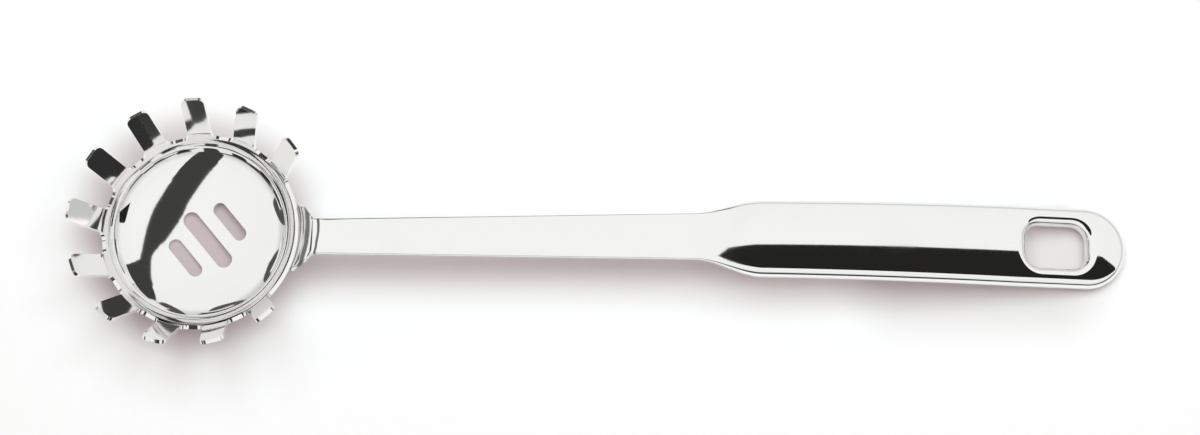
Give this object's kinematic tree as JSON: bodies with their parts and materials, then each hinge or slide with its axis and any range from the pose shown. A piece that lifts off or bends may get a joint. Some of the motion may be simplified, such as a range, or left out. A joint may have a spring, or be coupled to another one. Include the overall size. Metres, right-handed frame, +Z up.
{
  "type": "pasta server",
  "caption": "Polished steel pasta server: a slotted, dished head ringed by upright prongs on a long pressed handle with a hanging hole.",
  "frame": {"origin": "centre of the footprint, on the table that the bowl and the handle's end rest on", "axes": "+X along the handle towards its hanging end, +Z up out of the bowl's mouth"},
  "size_m": [0.3178, 0.0758, 0.0287],
  "materials": {
    "polished_steel": "mirror polished",
    "weld_steel": "plain"
  },
  "bodies": {
    "root": {"head": "polished_steel", "handle": "polished_steel", "spot_weld_1": "weld_steel", "spot_weld_2": "weld_steel"}
  },
  "joints": []
}
